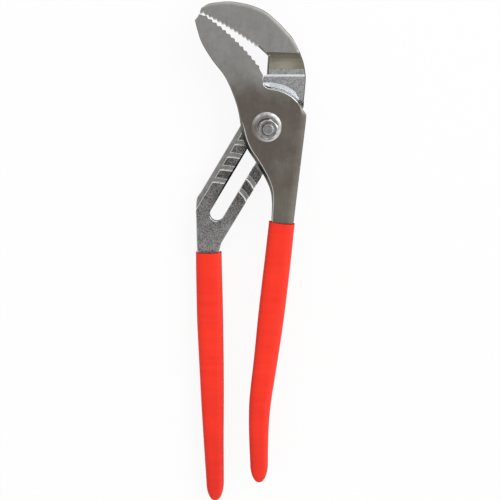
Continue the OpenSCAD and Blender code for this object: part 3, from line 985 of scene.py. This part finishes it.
def sleeve_tree():
    """Geometry nodes that skin a dipped sleeve over the stations of a spine."""
    tree, given = open_tree("dipped sleeve", {
        "Spine": "Geometry", "Ring Points": "Int", "Squareness": "Float", "Finish": "Material"})
    path = add(tree, "GeometryNodeMeshToCurve", {0: given["Spine"]})
    ring = add(tree, "GeometryNodeCurvePrimitiveCircle", {"Resolution": given["Ring Points"], "Radius": MM})
    index = add(tree, "GeometryNodeInputIndex")
    share = add(tree, "ShaderNodeMath", {0: index, 1: given["Ring Points"]}, operation="DIVIDE")
    angle = add(tree, "ShaderNodeMath", {0: share, 1: math.tau}, operation="MULTIPLY")
    marked = add(tree, "GeometryNodeStoreNamedAttribute", {
        "Geometry": ring, "Name": "turn", "Value": angle})
    skin = add(tree, "GeometryNodeCurveToMesh", {"Curve": path, "Profile Curve": marked})
    turn = add(tree, "GeometryNodeInputNamedAttribute", {"Name": "turn"})
    power = add(tree, "ShaderNodeMath", {0: 2, 1: given["Squareness"]}, operation="DIVIDE")
    place = add(tree, "GeometryNodeInputNamedAttribute", {"Name": "centre"}, data_type="FLOAT_VECTOR")
    reach = {}
    for axis, wave, size in (("across", "COSINE", "half_width"), ("upward", "SINE", "half_height")):
        swing = add(tree, "ShaderNodeMath", {0: turn}, operation=wave)
        bare = add(tree, "ShaderNodeMath", {0: swing}, operation="ABSOLUTE")
        bent = add(tree, "ShaderNodeMath", {0: bare, 1: power}, operation="POWER")
        side = add(tree, "ShaderNodeMath", {0: swing}, operation="SIGN")
        reach[axis] = add(tree, "ShaderNodeMath", {0: bent, 1: side}, operation="MULTIPLY")
        half = add(tree, "GeometryNodeInputNamedAttribute", {"Name": size})
        step = add(tree, "ShaderNodeMath", {0: reach[axis], 1: half}, operation="MULTIPLY")
        way = add(tree, "GeometryNodeInputNamedAttribute", {"Name": axis}, data_type="FLOAT_VECTOR")
        move = add(tree, "ShaderNodeVectorMath", {0: way, 3: step}, operation="SCALE")
        place = add(tree, "ShaderNodeVectorMath", {0: place, 1: move}, operation="ADD")
    edge = add(tree, "ShaderNodeMath", {0: reach["across"], 1: 2}, operation="POWER")
    inner = add(tree, "ShaderNodeMath", {0: 1, 1: edge}, operation="SUBTRACT")
    dip = add(tree, "GeometryNodeInputNamedAttribute", {"Name": "dip"}, data_type="FLOAT_VECTOR")
    sag = add(tree, "ShaderNodeVectorMath", {0: dip, 3: inner}, operation="SCALE")
    place = add(tree, "ShaderNodeVectorMath", {0: place, 1: sag}, operation="ADD")
    shaped = add(tree, "GeometryNodeSetPosition", {"Geometry": skin, "Position": place})
    joined = add(tree, "GeometryNodeMergeByDistance", {"Geometry": shaped, "Distance": MERGE_GAP})
    return close_tree(tree, joined, given)


def spine_mesh(name, stations):
    """Row of points with what each station's ring needs to know."""
    mesh = bpy.data.meshes.new(name)
    mesh.from_pydata([station["centre"] for station in stations],
                     [(index, index + 1) for index in range(len(stations) - 1)], [])
    for key, value in stations[0].items():
        many = isinstance(value, Vector)
        layer = mesh.attributes.new(key, "FLOAT_VECTOR" if many else "FLOAT", "POINT")
        for point, station in zip(layer.data, stations):
            if many:
                point.vector = station[key]
            else:
                point.value = station[key]
    return mesh


END_LENGTH = 16 * MM
END_STEPS = 14
END_POWER = 0.7
BODY_STEPS = 110
LEAN_STEPS = 5
SKIN = 0.05 * MM
RIPPLE_RUN = (17 * MM, 9 * MM)
RIM_SAFE = 5 * MM
RIM_SHARES = (0.3, 0.55, 0.75, 0.9, 0.97)
RIM_POWER = 3
LIP_TURNS = range(0, 181, 30)
# Depths and insets of the inner wall below the rim, and the depths where its dip and the wall end, in mm
INNER_WALL = ((3, 0.75), (8, 1.2), (16, 1.6))
INNER_DIP = 8
INNER_END = 17
RING_POINTS = 96
SQUARENESS = 3.4


def sleeve_stations(node, sizes):
    """Stations of a grip from its round end up to the rim, over the lip and down inside."""
    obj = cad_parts[node]
    low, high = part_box(node)
    foot = low.y + END_LENGTH
    safe = high.y - RIM_SAFE
    levels = [foot + (safe - foot) * i / BODY_STEPS for i in range(BODY_STEPS + 1)]
    boxes = [section_box(obj, level) for level in levels]
    centres = eased([(box[0] + box[1]) / 2 for box in boxes])
    halves = [half - SKIN for half in eased([(box[1] - box[0]) / 2 for box in boxes])]
    middle_z = (low.z + high.z) / 2
    thick = (high.z - low.z) / 2
    back = -1 - LEAN_STEPS
    lean = (centres[-1] - centres[back]) / (levels[-1] - levels[back])
    stations = []

    def station(x, y, half, height, slope, dip=0):
        across = Vector((1, -slope, 0)).normalized()
        along = Vector((-slope, -1, 0)).normalized()
        stations.append({"centre": Vector((x, y, middle_z)), "across": across, "upward": UP.copy(),
                         "half_width": half, "half_height": height, "dip": along * dip})

    for step in range(END_STEPS):
        angle = math.pi / 2 * (1 - step / END_STEPS)
        station(centres[0], foot - END_LENGTH * math.sin(angle), halves[0] * math.cos(angle),
                thick * max(0, math.cos(angle)) ** END_POWER, 0)
    for i, level in enumerate(levels):
        before, after = max(0, i - 1), min(BODY_STEPS, i + 1)
        slope = (centres[after] - centres[before]) / (levels[after] - levels[before])
        below = high.y - level
        wave = sizes.ripple * math.cos(below / sizes.ripple_pitch * math.tau) * fade(below, *RIPPLE_RUN)
        station(centres[i], level, halves[i] * math.cos(math.atan(slope)), thick - abs(wave), slope)
    rim_y = high.y - halves[-1] * abs(lean)
    run = rim_y - safe
    half = halves[-1]
    for share in RIM_SHARES:
        station(centres[-1] + lean * run * share, safe + run * share, half, thick, lean,
                sizes.rim_dip * share ** RIM_POWER)
    rim_x = centres[-1] + lean * run
    lip = sizes.rim_wall
    for turn in LIP_TURNS:
        angle = math.radians(turn)
        inset = lip / 2 * (1 - math.cos(angle))
        rise = lip / 2 * math.sin(angle)
        station(rim_x + lean * (rise - lip / 2), rim_y + rise - lip / 2, half - inset, thick - inset, lean,
                sizes.rim_dip)
    for depth, inset in INNER_WALL:
        station(rim_x - lean * depth * MM, rim_y - depth * MM, half - inset * MM, thick - inset * MM, lean,
                sizes.rim_dip * max(0, 1 - depth / INNER_DIP))
    station(rim_x - lean * INNER_END * MM, rim_y - INNER_END * MM, 0, 0, lean)
    return stations


class PLIERS_OT_grips(bpy.types.Operator):
    """Grips: dipped sleeves on the two handles"""

    bl_idname = "pliers.grips"
    bl_label = "Grips"

    def execute(self, context):
        sizes = context.scene.pliers_sizes
        tree = sleeve_tree()
        for body in ("rear_arm", "front_arm"):
            node = body.replace("arm", "grip")
            spine = spine_mesh(node + "_spine", sleeve_stations(node, sizes))
            piece = grown(node + "_sleeve", spine, tree, {
                "Ring Points": RING_POINTS, "Squareness": SQUARENESS, "Finish": finish("grip")})
            work = bmesh.new()
            work.from_mesh(piece.data)
            bmesh.ops.recalc_face_normals(work, faces=work.faces)
            work.to_mesh(piece.data)
            work.free()
            piece.data.shade_smooth()
            declare(piece, body, node)
        return {"FINISHED"}


TARGET = Vector((-14.22, -96.94, 14.5)) * MM
DISTANCE = 900 * MM
TILT = math.radians(7)
# Half of the frame and the reach of the lens, in pixels of the 500 pixel frame
HALF_FRAME = 250
LENS = 1116.6
NEAREST = 10 * MM
FLOOR_RADIUS = 2500 * MM
FLOOR_GAP = 0.1 * MM
LAMP_PLACE = Vector((1050, 750, 750)) * MM
LAMP_SIDE = 1300 * MM
LAMP_POWER = 5


class PLIERS_OT_stage(bpy.types.Operator):
    """Studio: pale paper floor, one soft lamp, a soft sky and the camera"""

    bl_idname = "pliers.stage"
    bl_label = "Studio"

    def execute(self, context):
        scene = context.scene
        camera = bpy.data.cameras.new("camera")
        camera.sensor_fit = "HORIZONTAL"
        camera.angle = 2 * math.atan(HALF_FRAME / LENS)
        camera.clip_start = NEAREST
        eye = bpy.data.objects.new("camera", camera)
        eye.location = TARGET + Vector((0, math.sin(TILT), math.cos(TILT))) * DISTANCE
        eye.rotation_euler = (-TILT, 0, 0)
        scene.collection.objects.link(eye)
        scene.camera = eye

        work = bmesh.new()
        bmesh.ops.create_circle(work, cap_ends=True, segments=96, radius=FLOOR_RADIUS)
        mesh = bpy.data.meshes.new("floor")
        work.to_mesh(mesh)
        work.free()
        mesh.materials.append(finish("floor"))
        floor = place_object("floor", mesh)
        floor.location.z = -FLOOR_GAP

        lamp = bpy.data.lights.new("key", "AREA")
        lamp.size = LAMP_SIDE
        lamp.energy = LAMP_POWER
        holder = bpy.data.objects.new("key", lamp)
        holder.location = LAMP_PLACE
        holder.rotation_euler = (TARGET - LAMP_PLACE).to_track_quat("-Z", "Y").to_euler()
        scene.collection.objects.link(holder)

        world = bpy.data.worlds.new("studio")
        world.use_nodes = True
        tree = world.node_tree
        tree.nodes.clear()
        way = add(tree, "ShaderNodeTexCoord").outputs["Generated"]
        axes = add(tree, "ShaderNodeSeparateXYZ", {0: way}).outputs
        side = add(tree, "ShaderNodeMapRange", {0: axes["X"], 1: -1, 2: 1, 3: 0.4, 4: 1.25})
        back = add(tree, "ShaderNodeMapRange", {0: axes["Y"], 1: -1, 2: 1, 3: 0.85, 4: 1.15})
        top = add(tree, "ShaderNodeMapRange", {0: axes["Z"], 1: 0.76, 2: 0.985, 3: 1.42, 4: 0.52},
                  interpolation_type="SMOOTHSTEP")
        low = add(tree, "ShaderNodeMapRange", {0: axes["Z"], 1: 0.1, 2: 0.55, 3: 0.5, 4: 1},
                  interpolation_type="SMOOTHSTEP")
        light = add(tree, "ShaderNodeMath", {0: side, 1: top}, operation="MULTIPLY")
        light = add(tree, "ShaderNodeMath", {0: light, 1: low}, operation="MULTIPLY")
        light = add(tree, "ShaderNodeMath", {0: light, 1: back}, operation="MULTIPLY")
        sky = add(tree, "ShaderNodeBackground", {"Color": (1, 1, 1, 1), "Strength": light})
        add(tree, "ShaderNodeOutputWorld", {"Surface": sky})
        scene.world = world
        scene.view_settings.view_transform = "Standard"
        return {"FINISHED"}


class PLIERS_PT_panel(bpy.types.Panel):
    """Lists what makes the pliers and the studio"""

    bl_idname = "PLIERS_PT_panel"
    bl_label = "Water Pump Pliers"
    bl_space_type = "VIEW_3D"
    bl_region_type = "UI"
    bl_category = "Pliers"

    def draw(self, context):
        for operator in OPERATORS:
            self.layout.operator(operator.bl_idname)
        for group in (context.scene.pliers_sizes, context.scene.pliers_colours):
            column = self.layout.column()
            for name in group.__annotations__:
                column.prop(group, name)


OPERATORS = (
    PLIERS_OT_stage,
    PLIERS_OT_rear_arm,
    PLIERS_OT_front_arm,
    PLIERS_OT_pivot,
    PLIERS_OT_grips,
)
CLASSES = (PliersSizes, PliersColours, *OPERATORS, PLIERS_PT_panel)


def register():
    """Registers the classes and gives the scene their values."""
    for kind in CLASSES:
        bpy.utils.register_class(kind)
    bpy.types.Scene.pliers_sizes = bpy.props.PointerProperty(type=PliersSizes)
    bpy.types.Scene.pliers_colours = bpy.props.PointerProperty(type=PliersColours)


def unregister():
    """Takes the classes and their values away."""
    del bpy.types.Scene.pliers_colours
    del bpy.types.Scene.pliers_sizes
    for kind in reversed(CLASSES):
        bpy.utils.unregister_class(kind)


def main():
    """Builds the studio and every piece."""
    register()
    bpy.ops.pliers.stage()
    bpy.ops.pliers.rear_arm()
    bpy.ops.pliers.front_arm()
    bpy.ops.pliers.pivot()
    bpy.ops.pliers.grips()
    bpy.context.view_layer.update()


if __name__ == "__main__":
    main()
